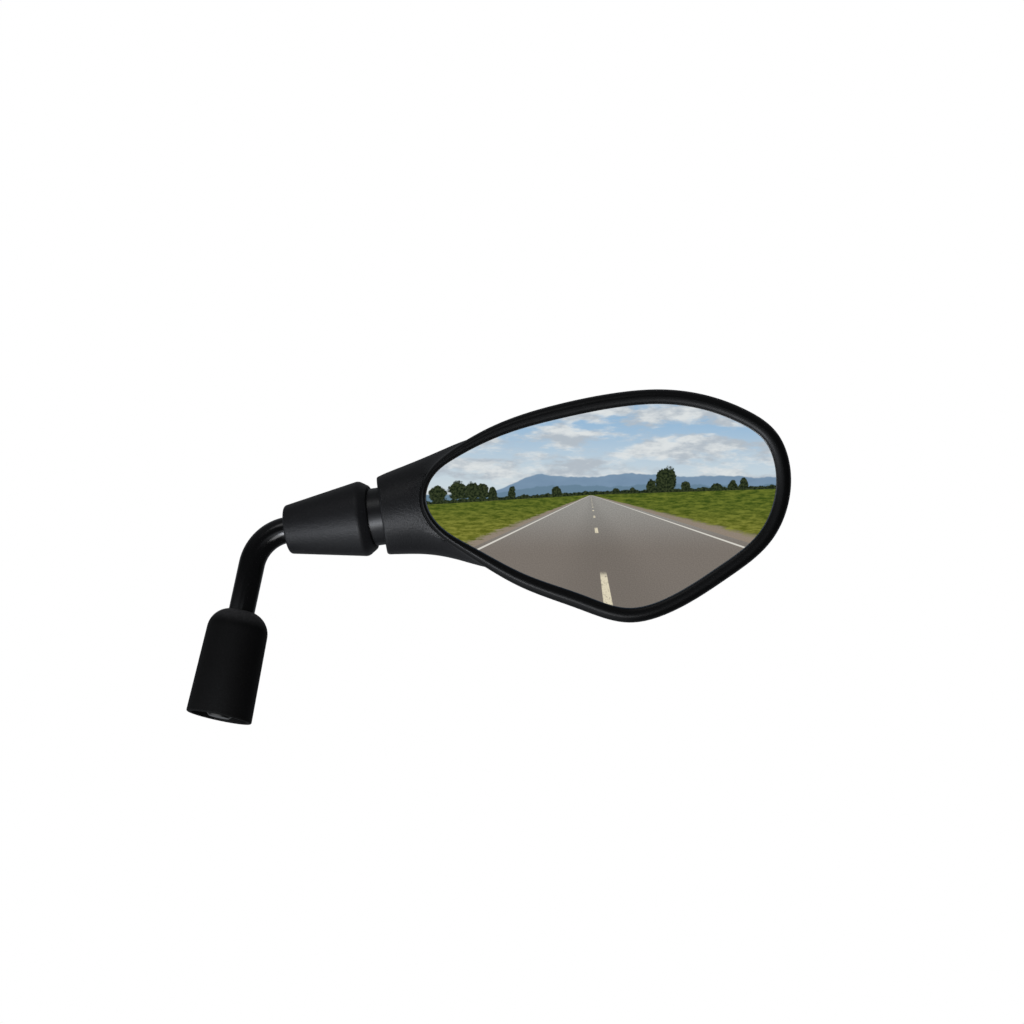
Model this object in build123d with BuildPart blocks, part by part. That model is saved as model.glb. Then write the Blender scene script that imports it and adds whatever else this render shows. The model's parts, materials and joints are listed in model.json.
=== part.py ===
from build123d import *

import os
from math import asin, atan2, cos, degrees, radians, sin, sqrt, tan

# Right-hand motorcycle mirror: a bent stem with a threaded end, a friction ball joint and a glass head.
# Frame: origin at the middle of the stem's threaded end, +X outboard, +Y away from the rider, +Z up.
# Millimetres and degrees. Head sizes are measured from the ball's centre.

# Stem rod
stem_d = 10.0
stem_lean = 11.9
stem_rake = 8.0
stem_rise = 70.7
stem_bend_r = 16.5
stem_end_chamfer = 1.0
arm_length = 55.0
arm_pitch = 8.3
arm_yaw = 9.0
stud_d = 6.0
stud_chamfer = 0.6
shoulder_back = 10.0

# Lock nut and boot at the threaded end
thread_length = 14.0
thread_mean_d = 9.2
lock_nut_flats = 16.0
lock_nut_height = 8.0
boot_overhang = 1.2
boot_mouth_d = 25.4
boot_shoulder_d = 22.9
boot_length = 41.9
boot_wall = 1.8
boot_top = 6.1
boot_round = 8.7
boot_lip_round = 0.6

# Sleeve and ball stub on the arm
sleeve_length = 33.4
sleeve_back_d = 18.4
sleeve_front_d = 28.9
sleeve_gap = 3.7
sleeve_nose = 3.5
sleeve_nose_drop = 2.3
sleeve_nose_round = 2.5
sleeve_front_round = 0.6
sleeve_back_round = 1.4
ball_d = 18.0
collar_d = 21.9
collar_front = 4.5
collar_length = 22.5
ball_turn_in = 100.0

# Ball joint inside the neck
swing = 15.0
slide_gap = 0.15
fit_gap = 0.05
open_gap = 0.3
liner_wall = 1.2
liner_edge = 70.0
seat_wall = 2.5
seat_edge = 86.0
swing_margin = 2.0
washer_wall = 1.6
washer_land_r = 7.0
washer_land = 0.4
disc_count = 4
disc_d = 12.4
disc_wall = 0.7
disc_cone = 0.35
flat_washer_d = 12.0
flat_washer_wall = 1.2
tension_nut_flats = 10.0
tension_nut_height = 5.0
insert_height = 2.0
insert_wall = 1.1
nut_crown_wall = 0.6
stud_beyond = 1.2

# Housing: neck sections (distance from the ball, up, down, half depth) and bowl levels (depth, scale)
neck_end = 6.5
neck_r = 14.8
neck_sections = (
    (8.0, 18.6, 16.9, 16.8), (23.4, 22.6, 22.3, 17.0), (33.0, 24.5, 26.0, 15.5), (48.0, 20.0, 20.0, 11.0),
)
neck_end_round = 1.0
neck_blend_r = 16.0
hollow_start = (2.0, 17.0, 16.0, 16.0)
housing_wall = 2.2
housing_front = -15.0
housing_step = 0.6
bowl_levels = (
    (0.0, 1.0), (5.0, 0.997), (12.0, 0.96), (20.0, 0.875), (27.0, 0.74), (32.0, 0.55), (34.8, 0.28),
)
bowl_middle = (64.0, 4.0)

# Rim outline, clockwise from the neck side, as seen by the rider
rim_points = (
    (8.2, 5.6), (10.9, 15.3), (19.6, 23.7), (38.0, 34.1), (60.8, 41.4), (83.5, 45.8), (99.6, 46.9),
    (115.6, 44.9), (131.6, 39.1), (142.6, 31.1), (147.9, 18.7), (147.7, 5.2), (141.2, -10.0),
    (124.6, -24.3), (103.6, -37.0), (87.3, -41.2), (68.3, -36.1), (45.5, -27.4), (25.6, -15.6), (12.4, -5.0),
)
rim_width = 5.6
rim_width_neck = 2.3
rim_fade = 60.0
rim_height = 6.0
# Shares of the rim's height and width: straight side, place of the crown, flat on the crown
rim_side = 0.35
rim_peak = 0.5
rim_land = 0.06
rim_inner_drop = 1.4
crown_angles = (0.0, 18.0, 36.0, 54.0, 72.0, 90.0)
shoulder_angles = (0.0, 20.0, 40.0, 60.0, 80.0)
glass_lip = 1.2
# Clips stand behind these points of the outline
clip_places = (4, 7, 11, 13, 17)
clip_width = 6.0
clip_wall = 1.0
clip_depth = 4.0

# Glass, tape and backing plate, from the front
glass_middle = (79.0, 4.0)
glass_curve_r = 1400.0
glass_setback = 1.2
glass_wall = 2.0
tape_wall = 0.8
tape_edge = 3.0
plate_edge = 0.6
plate_back = -13.2
boss_places = ((50.0, 19.0), (61.0, -15.0), (122.0, 11.0))
boss_d = 7.2
screw_d = 2.6
screw_length = 10.0
screw_head_d = 5.2
screw_head_height = 1.4
screw_head_front = -15.6

# Axes and centres
stem_dir = Vector(tan(radians(stem_lean)), tan(radians(stem_rake)), 1).normalized()
arm_dir = Vector(
    cos(radians(arm_pitch)) * cos(radians(arm_yaw)),
    -sin(radians(arm_yaw)),
    sin(radians(arm_pitch)) * cos(radians(arm_yaw)),
)
neck_dir = Vector(cos(radians(arm_pitch)), 0, sin(radians(arm_pitch)))
neck_up = Vector(-sin(radians(arm_pitch)), 0, cos(radians(arm_pitch)))
stem_corner = stem_dir * stem_rise
ball_centre = stem_corner + arm_dir * arm_length
arm_axis = Axis(ball_centre, arm_dir)
neck_axis = Axis(ball_centre, neck_dir)
stem_axis = Axis((0, 0, 0), stem_dir)
back = Vector(0, 1, 0)

# Radii that follow from the sizes above
stem_r = stem_d / 2
stud_r = stud_d / 2
ball_r = ball_d / 2
collar_r = collar_d / 2
liner_in = ball_r + slide_gap
liner_out = liner_in + liner_wall
seat_r = liner_out + slide_gap
dome_r = seat_r + seat_wall
washer_in = dome_r + slide_gap
washer_out = washer_in + washer_wall
stud_bore_r = stud_r + fit_gap
liner_hole = degrees(asin(stud_r / liner_in)) + swing + swing_margin
seat_hole = degrees(asin(stud_r / seat_r)) + swing + swing_margin
washer_edge = seat_hole + swing + swing_margin
sleeve_front = neck_end + sleeve_gap
glass_front = housing_front - rim_height + glass_setback
glass_sphere = ball_centre + Vector(glass_middle[0], glass_front + glass_curve_r, glass_middle[1])
shell_inset = housing_step + housing_wall


def along(origin, direction):
    """Plane through an axis: local x runs along it, local y is the radius."""
    side = Plane(origin=origin, z_dir=direction).x_dir
    return Plane(origin=origin, x_dir=direction, z_dir=side)


def across(origin, direction, distance):
    """Plane square to an axis at a distance along it."""
    return Plane(origin=origin + direction * distance, x_dir=back.cross(direction), z_dir=direction)


def facing(depth):
    """Upright plane that faces the rider: local x is +X and local y is +Z, from the ball's centre."""
    return Plane(origin=ball_centre + Vector(0, depth, 0), x_dir=(1, 0, 0), z_dir=(0, -1, 0))


def polar(radius, angle):
    """Point on a circle about the ball's centre, by its angle from the axis."""
    return (radius * cos(radians(angle)), radius * sin(radians(angle)))


def width_at(x):
    """Rim width: narrow at the neck and full beyond the fade."""
    near = max(0.0, 1 - (x - rim_points[0][0]) / rim_fade)
    return rim_width - (rim_width - rim_width_neck) * near**2


def inset(distance_at, scale=1.0):
    """Rim outline scaled about the bowl's middle, then moved inwards by distance_at(x)."""
    middle = Vector(*bowl_middle)
    points = [middle + (Vector(*point) - middle) * scale for point in rim_points]
    moved = []
    for i, point in enumerate(points):
        run = (points[(i + 1) % len(points)] - points[i - 1]).normalized()
        moved.append(point + Vector(run.Y, -run.X) * distance_at(rim_points[i][0]))
    return moved


def rim_face(depth, distance_at, scale=1.0):
    """Closed outline on an upright plane, moved in from the rim's edge."""
    with BuildSketch(facing(depth)) as outline:
        with BuildLine():
            Spline(*inset(distance_at, scale), periodic=True)
        make_face()
    return outline.sketch


def neck_face(distance, up, down, half_depth, wall):
    """Oval section of the neck, less a wall."""
    middle = ball_centre + neck_up * ((up - down) / 2)
    with BuildSketch(Plane(origin=middle + neck_dir * distance, x_dir=neck_up, z_dir=neck_dir)) as oval:
        Ellipse((up + down) / 2 - wall, half_depth - wall)
    return oval.sketch


def hex_blank(plane, flats, height):
    """Hexagon with its corners turned off at both ends."""
    corner_r = flats / sqrt(3)
    turned = (corner_r - flats / 2) * tan(radians(30))
    with BuildPart() as blank:
        with BuildSketch(plane):
            RegularPolygon(flats / 2, 6, major_radius=False)
        extrude(amount=height)
        with BuildSketch(along(plane.origin, plane.z_dir)):
            Polygon(
                (0, 0), (0, flats / 2), (turned, corner_r), (height - turned, corner_r),
                (height, flats / 2), (height, 0), align=None,
            )
        revolve(axis=Axis(plane.origin, plane.z_dir), mode=Mode.INTERSECT)
    return blank.part


# Stem rod: bent bar with a threaded end, a shoulder and the joint's stud
disc_stack = disc_count * (disc_wall + disc_cone)
washer_face = washer_out + washer_land
flat_washer_at = washer_face + disc_stack
tension_nut_at = flat_washer_at + flat_washer_wall
stud_end = tension_nut_at + tension_nut_height + insert_height + stud_beyond
shoulder = ball_centre - arm_dir * shoulder_back
stem_end = stem_dir * -stem_end_chamfer
thread_top = across(Vector(0, 0, 0), stem_dir, thread_length)
with BuildPart() as stem_rod:
    with BuildLine() as stem_path:
        FilletPolyline(stem_end, stem_corner, shoulder, radius=stem_bend_r)
    with BuildSketch(Plane(origin=stem_end, z_dir=stem_dir)):
        Circle(stem_r)
    sweep(path=stem_path.wire())
    with BuildSketch(Plane(origin=shoulder, z_dir=arm_dir)):
        Circle(stud_r)
    extrude(amount=shoulder_back + stud_end)
    # Inside the lock nut, both threads are drawn at their mean diameter
    with BuildSketch(thread_top):
        Circle(stem_r + open_gap)
        Circle(thread_mean_d / 2, mode=Mode.SUBTRACT)
    extrude(amount=lock_nut_height + 2 * fit_gap, mode=Mode.SUBTRACT)
    chamfer(stem_rod.faces().sort_by(Axis.Z)[0].edges(), stem_end_chamfer)
    chamfer(stem_rod.faces().sort_by(Axis.X)[-1].edges(), stud_chamfer)

# Lock nut that jams the stem in its clamp
lock_nut_plane = thread_top.offset(fit_gap)
lock_nut_blank = hex_blank(lock_nut_plane, lock_nut_flats, lock_nut_height)
with BuildPart() as lock_nut:
    add(lock_nut_blank)
    with BuildSketch(lock_nut_plane):
        Circle(thread_mean_d / 2 + fit_gap)
    extrude(amount=lock_nut_height, mode=Mode.SUBTRACT)

# Rubber boot, open at the bottom, over the lock nut
boot_low = -boot_overhang
boot_high = boot_low + boot_length
with BuildPart() as stem_boot:
    with BuildSketch(along(Vector(0, 0, 0), stem_dir)) as boot_section:
        Polygon(
            (boot_low, 0), (boot_low, boot_mouth_d / 2), (boot_high, boot_shoulder_d / 2), (boot_high, 0),
            align=None,
        )
        fillet(boot_section.vertices().group_by(Axis.X)[-1].sort_by(Axis.Y)[-1], boot_round)
        Polygon(
            (boot_low, 0), (boot_low, boot_mouth_d / 2 - boot_wall),
            (boot_high - boot_top, boot_shoulder_d / 2 - boot_wall), (boot_high - boot_top, stem_r + fit_gap),
            (boot_high, stem_r + fit_gap), (boot_high, 0), align=None, mode=Mode.SUBTRACT,
        )
        fillet(boot_section.vertices().group_by(Axis.X)[0], boot_lip_round)
    revolve(axis=stem_axis)

# Ball stub: collar and round nose, pushed over the rod against its shoulder
collar_back = collar_front + collar_length
with BuildPart() as ball_stub:
    with BuildSketch(along(ball_centre, arm_dir)):
        with BuildLine():
            bore_angle = degrees(asin(stud_bore_r / ball_r))
            nose = CenterArc((0, 0), ball_r, bore_angle, ball_turn_in - bore_angle)
            Polyline(
                nose @ 1, (-collar_front, collar_r), (-collar_back, collar_r), (-collar_back, stem_r + fit_gap),
                (-shoulder_back, stem_r + fit_gap), (-shoulder_back, stud_bore_r), nose @ 0,
            )
        make_face()
    revolve(axis=arm_axis)

# Tapered sleeve over the rod's end and the stub's collar
sleeve_back = sleeve_front + sleeve_length
with BuildPart() as joint_sleeve:
    with BuildSketch(along(ball_centre, arm_dir)) as sleeve_section:
        Polygon(
            (-sleeve_front, collar_r + fit_gap), (-sleeve_front, sleeve_front_d / 2 - sleeve_nose_drop),
            (-sleeve_front - sleeve_nose, sleeve_front_d / 2),
            (-sleeve_back, sleeve_back_d / 2), (-sleeve_back, stem_r + fit_gap),
            (-collar_back, stem_r + fit_gap), (-collar_back, collar_r + fit_gap),
            align=None,
        )
        fillet(sleeve_section.vertices().sort_by(Axis.Y)[-1], sleeve_nose_round)
        fillet(sleeve_section.vertices().group_by(Axis.X)[-1].sort_by(Axis.Y)[-1], sleeve_front_round)
        fillet(sleeve_section.vertices().group_by(Axis.X)[0].sort_by(Axis.Y)[-1], sleeve_back_round)
    revolve(axis=arm_axis)

# Plastic liner between the ball and the seat in the neck
with BuildPart() as socket_liner:
    with BuildSketch(along(ball_centre, neck_dir)):
        with BuildLine():
            inner = CenterArc((0, 0), liner_in, liner_hole, liner_edge - liner_hole)
            outer = CenterArc((0, 0), liner_out, liner_hole, liner_edge - liner_hole)
            Line(inner @ 0, outer @ 0)
            Line(inner @ 1, outer @ 1)
        make_face()
    revolve(axis=neck_axis)

# Spherical washer on the inside of the seat, carried by the stud
with BuildPart() as spherical_washer:
    with BuildSketch(along(ball_centre, arm_dir)):
        with BuildLine():
            washer_bore = degrees(asin(stud_bore_r / washer_in))
            cup = CenterArc((0, 0), washer_in, washer_bore, washer_edge - washer_bore)
            Polyline(
                cup @ 0, (washer_face, stud_bore_r), (washer_face, washer_land_r),
                (washer_face - washer_wall, washer_land_r), polar(washer_out, washer_edge), cup @ 1,
            )
        make_face()
    revolve(axis=arm_axis)

# Stack of disc springs, turned in pairs
with BuildPart() as disc_springs:
    for i in range(disc_count):
        low = washer_face + i * (disc_wall + disc_cone)
        at_bore, at_edge = (low + disc_cone, low) if i % 2 == 0 else (low, low + disc_cone)
        with BuildSketch(along(ball_centre, arm_dir)):
            Polygon(
                (at_bore, stud_bore_r), (at_bore + disc_wall, stud_bore_r),
                (at_edge + disc_wall, disc_d / 2), (at_edge, disc_d / 2), align=None,
            )
        revolve(axis=arm_axis)

# Flat washer under the nut
with BuildPart() as flat_washer:
    with BuildSketch(across(ball_centre, arm_dir, flat_washer_at)):
        Circle(flat_washer_d / 2)
        Circle(stud_bore_r, mode=Mode.SUBTRACT)
    extrude(amount=flat_washer_wall)

# Self-locking nut with a crown that holds its nylon ring
insert_at = tension_nut_at + tension_nut_height
tension_nut_plane = across(ball_centre, arm_dir, tension_nut_at)
tension_nut_blank = hex_blank(tension_nut_plane, tension_nut_flats, tension_nut_height)
with BuildPart() as tension_nut:
    add(tension_nut_blank)
    with BuildSketch(across(ball_centre, arm_dir, insert_at)):
        Circle(stud_bore_r + insert_wall + nut_crown_wall)
        Circle(stud_bore_r + insert_wall, mode=Mode.SUBTRACT)
    extrude(amount=insert_height)
    with BuildSketch(tension_nut_plane):
        Circle(stud_bore_r)
    extrude(amount=tension_nut_height, mode=Mode.SUBTRACT)

with BuildPart() as nut_insert:
    with BuildSketch(across(ball_centre, arm_dir, insert_at)):
        Circle(stud_bore_r + insert_wall)
        Circle(stud_bore_r, mode=Mode.SUBTRACT)
    extrude(amount=insert_height)


# Hollow of the housing: bowl and neck, less the screw bosses
hollow_bowl = [rim_face(housing_front - housing_step, lambda x: shell_inset)]
for depth, scale in bowl_levels:
    back_wall = housing_wall * (1 - scale)
    side_wall = housing_step + housing_wall * scale
    hollow_bowl.append(rim_face(housing_front + depth - back_wall, lambda x: side_wall, scale))
hollow_neck = [neck_face(*section, housing_wall) for section in (hollow_start, *neck_sections)]
with BuildPart() as hollow:
    loft(hollow_bowl)
    with BuildSketch(facing(plate_back)):
        with Locations(*boss_places):
            Circle(boss_d / 2)
    extrude(amount=-bowl_levels[-1][0] * 2, mode=Mode.SUBTRACT)
    loft(hollow_neck)

# Housing shell: neck, bowl, ball seat and bosses in one moulding
mouth_r = collar_r / cos(radians(swing)) + open_gap
mouth_depth = neck_end + housing_wall
bowl = [rim_face(housing_front + depth, lambda x: housing_step, scale) for depth, scale in bowl_levels]
neck = [neck_face(-neck_end, neck_r, neck_r, neck_r, 0)]
neck += [neck_face(*section, 0) for section in neck_sections]
rim_room = rim_face(housing_front, lambda x: -open_gap)
with BuildPart() as housing_shell:
    loft(bowl)
    loft(neck)
    front_edge = ball_centre.Y + housing_front + open_gap
    seam = housing_shell.edges(Select.NEW)
    fillet(seam.filter_by_position(Axis.Y, front_edge, front_edge + neck_r * 4), neck_blend_r)
    fillet(housing_shell.faces().sort_by(neck_axis)[0].edges(), neck_end_round)
    extrude(rim_room, amount=neck_sections[1][3], mode=Mode.SUBTRACT)
    add(hollow.part, mode=Mode.SUBTRACT)
    with BuildSketch(along(ball_centre, neck_dir)):
        Polygon(
            (-mouth_depth, 0), (-mouth_depth, mouth_r + mouth_depth * tan(radians(swing))),
            (0, mouth_r), (dome_r, mouth_r), (dome_r, 0), align=None,
        )
    revolve(axis=neck_axis, mode=Mode.SUBTRACT)
    with BuildSketch(along(ball_centre, neck_dir)):
        with BuildLine():
            seat = CenterArc((0, 0), seat_r, seat_hole, seat_edge - seat_hole)
            dome = CenterArc((0, 0), dome_r, seat_hole, seat_edge - seat_hole)
            Line(seat @ 0, dome @ 0)
            Line(seat @ 1, dome @ 1)
        make_face()
    revolve(axis=neck_axis)
    with BuildSketch(facing(plate_back)):
        with Locations(*boss_places):
            Circle(screw_d / 2 + fit_gap)
    extrude(amount=-screw_length, mode=Mode.SUBTRACT)

# Rebate behind the rim's lip, which follows the glass
rebate_face = rim_face(housing_front, lambda x: width_at(x) - glass_lip - fit_gap)
with BuildPart() as rebate:
    extrude(rebate_face, amount=rim_height)
    with Locations(glass_sphere):
        Sphere(glass_curve_r + fit_gap, mode=Mode.INTERSECT)

# Rim that frames the glass: crowned bead, rounded inner shoulder, rebate and clips
rim_front = housing_front - rim_height
bead = [rim_face(housing_front, lambda x: 0)]
for angle in crown_angles:
    rise = rim_side + (1 - rim_side) * sin(radians(angle))
    share = rim_peak * (1 - cos(radians(angle)))
    bead.append(rim_face(housing_front - rim_height * rise, lambda x: width_at(x) * share))
window = rim_face(housing_front, width_at)
rim_shoulder = []
for angle in shoulder_angles:
    drop = (1 - cos(radians(angle))) / (1 - cos(radians(shoulder_angles[-1])))
    turn = sin(radians(angle)) / sin(radians(shoulder_angles[-1]))
    share = rim_peak + rim_land + (1 - rim_peak - rim_land) * turn
    rim_shoulder.append(rim_face(rim_front + rim_inner_drop * drop, lambda x: width_at(x) * share))
clip_line = inset(lambda x: shell_inset + open_gap + clip_wall / 2)
with BuildPart() as bezel_rim:
    loft(bead)
    extrude(window, amount=rim_height, mode=Mode.SUBTRACT)
    loft(rim_shoulder, mode=Mode.SUBTRACT)
    add(rebate.part, mode=Mode.SUBTRACT)
    with BuildSketch(facing(housing_front)):
        for place in clip_places:
            run = clip_line[place + 1] - clip_line[place - 1]
            with Locations(clip_line[place]):
                Rectangle(clip_width, clip_wall, rotation=degrees(atan2(run.Y, run.X)))
    extrude(amount=-clip_depth)

# Convex mirror glass
glass_face = rim_face(housing_front, lambda x: width_at(x) - glass_lip)
with BuildPart() as mirror_glass:
    extrude(glass_face, amount=rim_height)
    with Locations(glass_sphere):
        Sphere(glass_curve_r, mode=Mode.INTERSECT)
        Sphere(glass_curve_r - glass_wall, mode=Mode.SUBTRACT)

# Foam tape between the glass and its plate
tape_r = glass_curve_r - glass_wall
tape_face = rim_face(plate_back, lambda x: max(width_at(x) - glass_lip, shell_inset) + tape_edge)
with BuildPart() as glass_tape:
    extrude(tape_face, amount=rim_height)
    with Locations(glass_sphere):
        Sphere(tape_r, mode=Mode.INTERSECT)
        Sphere(tape_r - tape_wall, mode=Mode.SUBTRACT)

# Backing plate, flat behind and curved in front, with sunk screw holes
plate_face = rim_face(plate_back, lambda x: max(width_at(x) - glass_lip, shell_inset) + plate_edge)
screw_neck = screw_head_front + screw_head_height
with BuildPart() as backing_plate:
    extrude(plate_face, amount=rim_height)
    with Locations(glass_sphere):
        Sphere(tape_r - tape_wall, mode=Mode.INTERSECT)
    for x, z in boss_places:
        with BuildSketch(along(ball_centre + Vector(x, 0, z), back)):
            Polygon(
                (glass_front, 0), (glass_front, screw_head_d / 2 + fit_gap),
                (screw_head_front, screw_head_d / 2 + fit_gap), (screw_neck, screw_d / 2 + fit_gap),
                (0, screw_d / 2 + fit_gap), (0, 0), align=None,
            )
        revolve(axis=Axis(ball_centre + Vector(x, 0, z), back), mode=Mode.SUBTRACT)

# Countersunk screws that hold the plate to the bosses
with BuildPart() as plate_screws:
    for x, z in boss_places:
        with BuildSketch(along(ball_centre + Vector(x, 0, z), back)):
            Polygon(
                (screw_head_front, 0), (screw_head_front, screw_head_d / 2), (screw_neck, screw_d / 2),
                (screw_neck + screw_length - screw_d / 2, screw_d / 2), (screw_neck + screw_length, 0), align=None,
            )
        revolve(axis=Axis(ball_centre + Vector(x, 0, z), back))

pieces = {
    "stem_rod": stem_rod,
    "lock_nut": lock_nut,
    "stem_boot": stem_boot,
    "ball_stub": ball_stub,
    "joint_sleeve": joint_sleeve,
    "socket_liner": socket_liner,
    "spherical_washer": spherical_washer,
    "disc_springs": disc_springs,
    "flat_washer": flat_washer,
    "tension_nut": tension_nut,
    "nut_insert": nut_insert,
    "housing_shell": housing_shell,
    "bezel_rim": bezel_rim,
    "mirror_glass": mirror_glass,
    "glass_tape": glass_tape,
    "backing_plate": backing_plate,
    "plate_screws": plate_screws,
}
os.makedirs("parts", exist_ok=True)
for name, piece in pieces.items():
    piece.part.label = name
    export_step(piece.part, f"parts/{name}.step")
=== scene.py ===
import json
import math
from functools import partial

import bmesh
import bpy
import numpy as np
from bpy.props import FloatProperty, FloatVectorProperty, IntProperty, PointerProperty
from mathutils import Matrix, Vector


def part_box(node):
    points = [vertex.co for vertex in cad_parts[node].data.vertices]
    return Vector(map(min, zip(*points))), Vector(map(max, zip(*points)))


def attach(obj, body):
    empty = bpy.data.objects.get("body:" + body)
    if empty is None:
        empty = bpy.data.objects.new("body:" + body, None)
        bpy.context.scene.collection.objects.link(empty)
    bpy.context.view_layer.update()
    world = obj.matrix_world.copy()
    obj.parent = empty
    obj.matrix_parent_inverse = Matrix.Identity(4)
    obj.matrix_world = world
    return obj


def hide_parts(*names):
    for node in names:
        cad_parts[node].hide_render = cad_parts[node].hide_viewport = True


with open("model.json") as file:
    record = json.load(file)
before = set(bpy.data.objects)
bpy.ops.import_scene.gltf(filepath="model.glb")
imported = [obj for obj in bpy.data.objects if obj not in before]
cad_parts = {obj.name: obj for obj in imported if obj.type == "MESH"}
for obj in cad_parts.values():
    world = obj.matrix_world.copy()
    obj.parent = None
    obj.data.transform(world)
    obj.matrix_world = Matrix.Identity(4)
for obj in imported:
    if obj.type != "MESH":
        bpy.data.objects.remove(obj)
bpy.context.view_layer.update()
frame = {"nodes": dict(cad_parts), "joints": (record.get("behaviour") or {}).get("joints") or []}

bl_info = {
    "name": "Motorcycle mirror",
    "version": (1, 0, 0),
    "blender": (4, 5, 0),
    "location": "3D View > Sidebar > Mirror",
    "description": "Dresses the packed mirror: stem, boot, ball joint, housing, rim and glass",
    "category": "Object",
}

JOINTS = {joint["name"]: joint for joint in frame["joints"]}
BALL = Vector(JOINTS["head_pan"]["pos_m"])
STEM_DIR = Vector(JOINTS["boot_slide"]["axis"]).normalized()
ARM_DIR = Vector(JOINTS["head_tip"]["axis"]).normalized()
ORIGIN = Vector((0, 0, 0))
MM = 0.001
# Gap of a piece on the stem, and the distances at which two places count as one and as near
FIT_GAP, MERGE, NEAR = 0.05 * MM, 0.001 * MM, 0.02 * MM
STEM_SIDES, BEND_STEPS, RINGS_PER_TURN = 72, 24, 10

# Rim outline in millimetres from the ball's centre, clockwise from the neck side as the rider sees it
RIM_POINTS = (
    (8.2, 5.6), (10.9, 15.3), (19.6, 23.7), (38.0, 34.1), (60.8, 41.4), (83.5, 45.8), (99.6, 46.9),
    (115.6, 44.9), (131.6, 39.1), (142.6, 31.1), (147.9, 18.7), (147.7, 5.2), (141.2, -10.0),
    (124.6, -24.3), (103.6, -37.0), (87.3, -41.2), (68.3, -36.1), (45.5, -27.4), (25.6, -15.6), (12.4, -5.0),
)


def length(name, text, default):
    """A length property in metres."""
    return FloatProperty(name=name, description=text, default=default, min=0, precision=5, unit="LENGTH")


def tint(name, text, default):
    """A colour property."""
    return FloatVectorProperty(name=name, description=text, default=default, min=0, max=1, subtype="COLOR")


def watts(name, text, default):
    """A lamp's power property."""
    return FloatProperty(name=name, description=text, default=default, unit="POWER")


class MirrorSizes(bpy.types.PropertyGroup):
    """Sizes of the modelled pieces."""

    stem_radius: length("Stem radius", "Radius of the bent bar", 0.005)
    stem_rise: length("Stem rise", "From the thread's end to the corner of the bend", 0.0707)
    stem_bend: length("Bend radius", "Radius of the bend's middle line", 0.0165)
    arm_length: length("Arm length", "From the corner of the bend to the ball's centre", 0.055)
    shoulder_back: length("Shoulder", "From the stem's shoulder to the ball's centre", 0.01)
    stud_radius: length("Stud radius", "Radius of the joint's stud", 0.003)
    thread_pitch: length("Thread pitch", "Rise of the thread in one turn", 0.00125)
    thread_depth: length("Thread depth", "From the crest to the root of the thread", 0.00072)
    thread_run: length("Thread length", "Length of the cut thread", 0.0235)
    end_chamfer: length("End chamfer", "Chamfer at the threaded end", 0.001)
    boot_mouth: length("Boot mouth radius", "Outer radius at the boot's mouth", 0.0127)
    boot_shoulder: length("Boot shoulder radius", "Outer radius at the boot's top", 0.01145)
    boot_length: length("Boot length", "Length of the boot", 0.0419)
    boot_overhang: length("Boot overhang", "How far the boot hangs below the thread's end", 0.0012)
    boot_wall: length("Boot wall", "Thickness of the boot's side", 0.0018)
    boot_top: length("Boot top", "Thickness of the boot's top", 0.0061)
    boot_round: length("Boot rounding", "Rounding of the boot's shoulder", 0.0087)
    sleeve_front: length("Sleeve front", "From the ball's centre back to the sleeve", 0.0102)
    sleeve_length: length("Sleeve length", "Length of the tapered sleeve", 0.0334)
    sleeve_nose: length("Sleeve nose", "Length of the sleeve's bevelled front", 0.0035)
    sleeve_nose_drop: length("Sleeve nose drop", "Fall in radius along the bevelled front", 0.0023)
    sleeve_small: length("Sleeve small radius", "Outer radius at the stem's end", 0.0092)
    sleeve_large: length("Sleeve large radius", "Outer radius at the ball's end", 0.01445)
    collar_radius: length("Collar radius", "Radius of the collar behind the ball", 0.01095)
    collar_back: length("Collar back", "From the ball's centre to the collar's end", 0.027)
    neck_facet: length("Neck facet", "Facet size on the front of the neck", 0.0015)
    neck_reach: length("Neck reach", "Reach over which the neck's blend is evened", 0.002)
    back_facet: length("Back facet", "Facet size on the back of the bowl", 0.003)
    back_reach: length("Back reach", "Reach over which the back of the bowl is evened", 0.005)
    rim_width: length("Rim width", "Width of the rim away from the neck", 0.0056)
    rim_width_neck: length("Rim width at the neck", "Width of the rim beside the neck", 0.0023)
    rim_height: length("Rim height", "Height of the rim in front of the housing", 0.006)
    rim_drop: length("Rim shoulder", "Drop of the rim's inner shoulder", 0.0014)
    glass_radius: length("Glass curve", "Radius of the convex glass", 1.4)
    glass_setback: length("Glass setback", "From the rim's crown back to the glass", 0.0012)
    glass_wall: length("Glass thickness", "Thickness of the glass", 0.002)
    glass_lip: length("Glass lip", "How far the rim covers the glass", 0.0012)
    round_steps: IntProperty(name="Round steps", description="Steps in a full turn", default=96, min=24)


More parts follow.
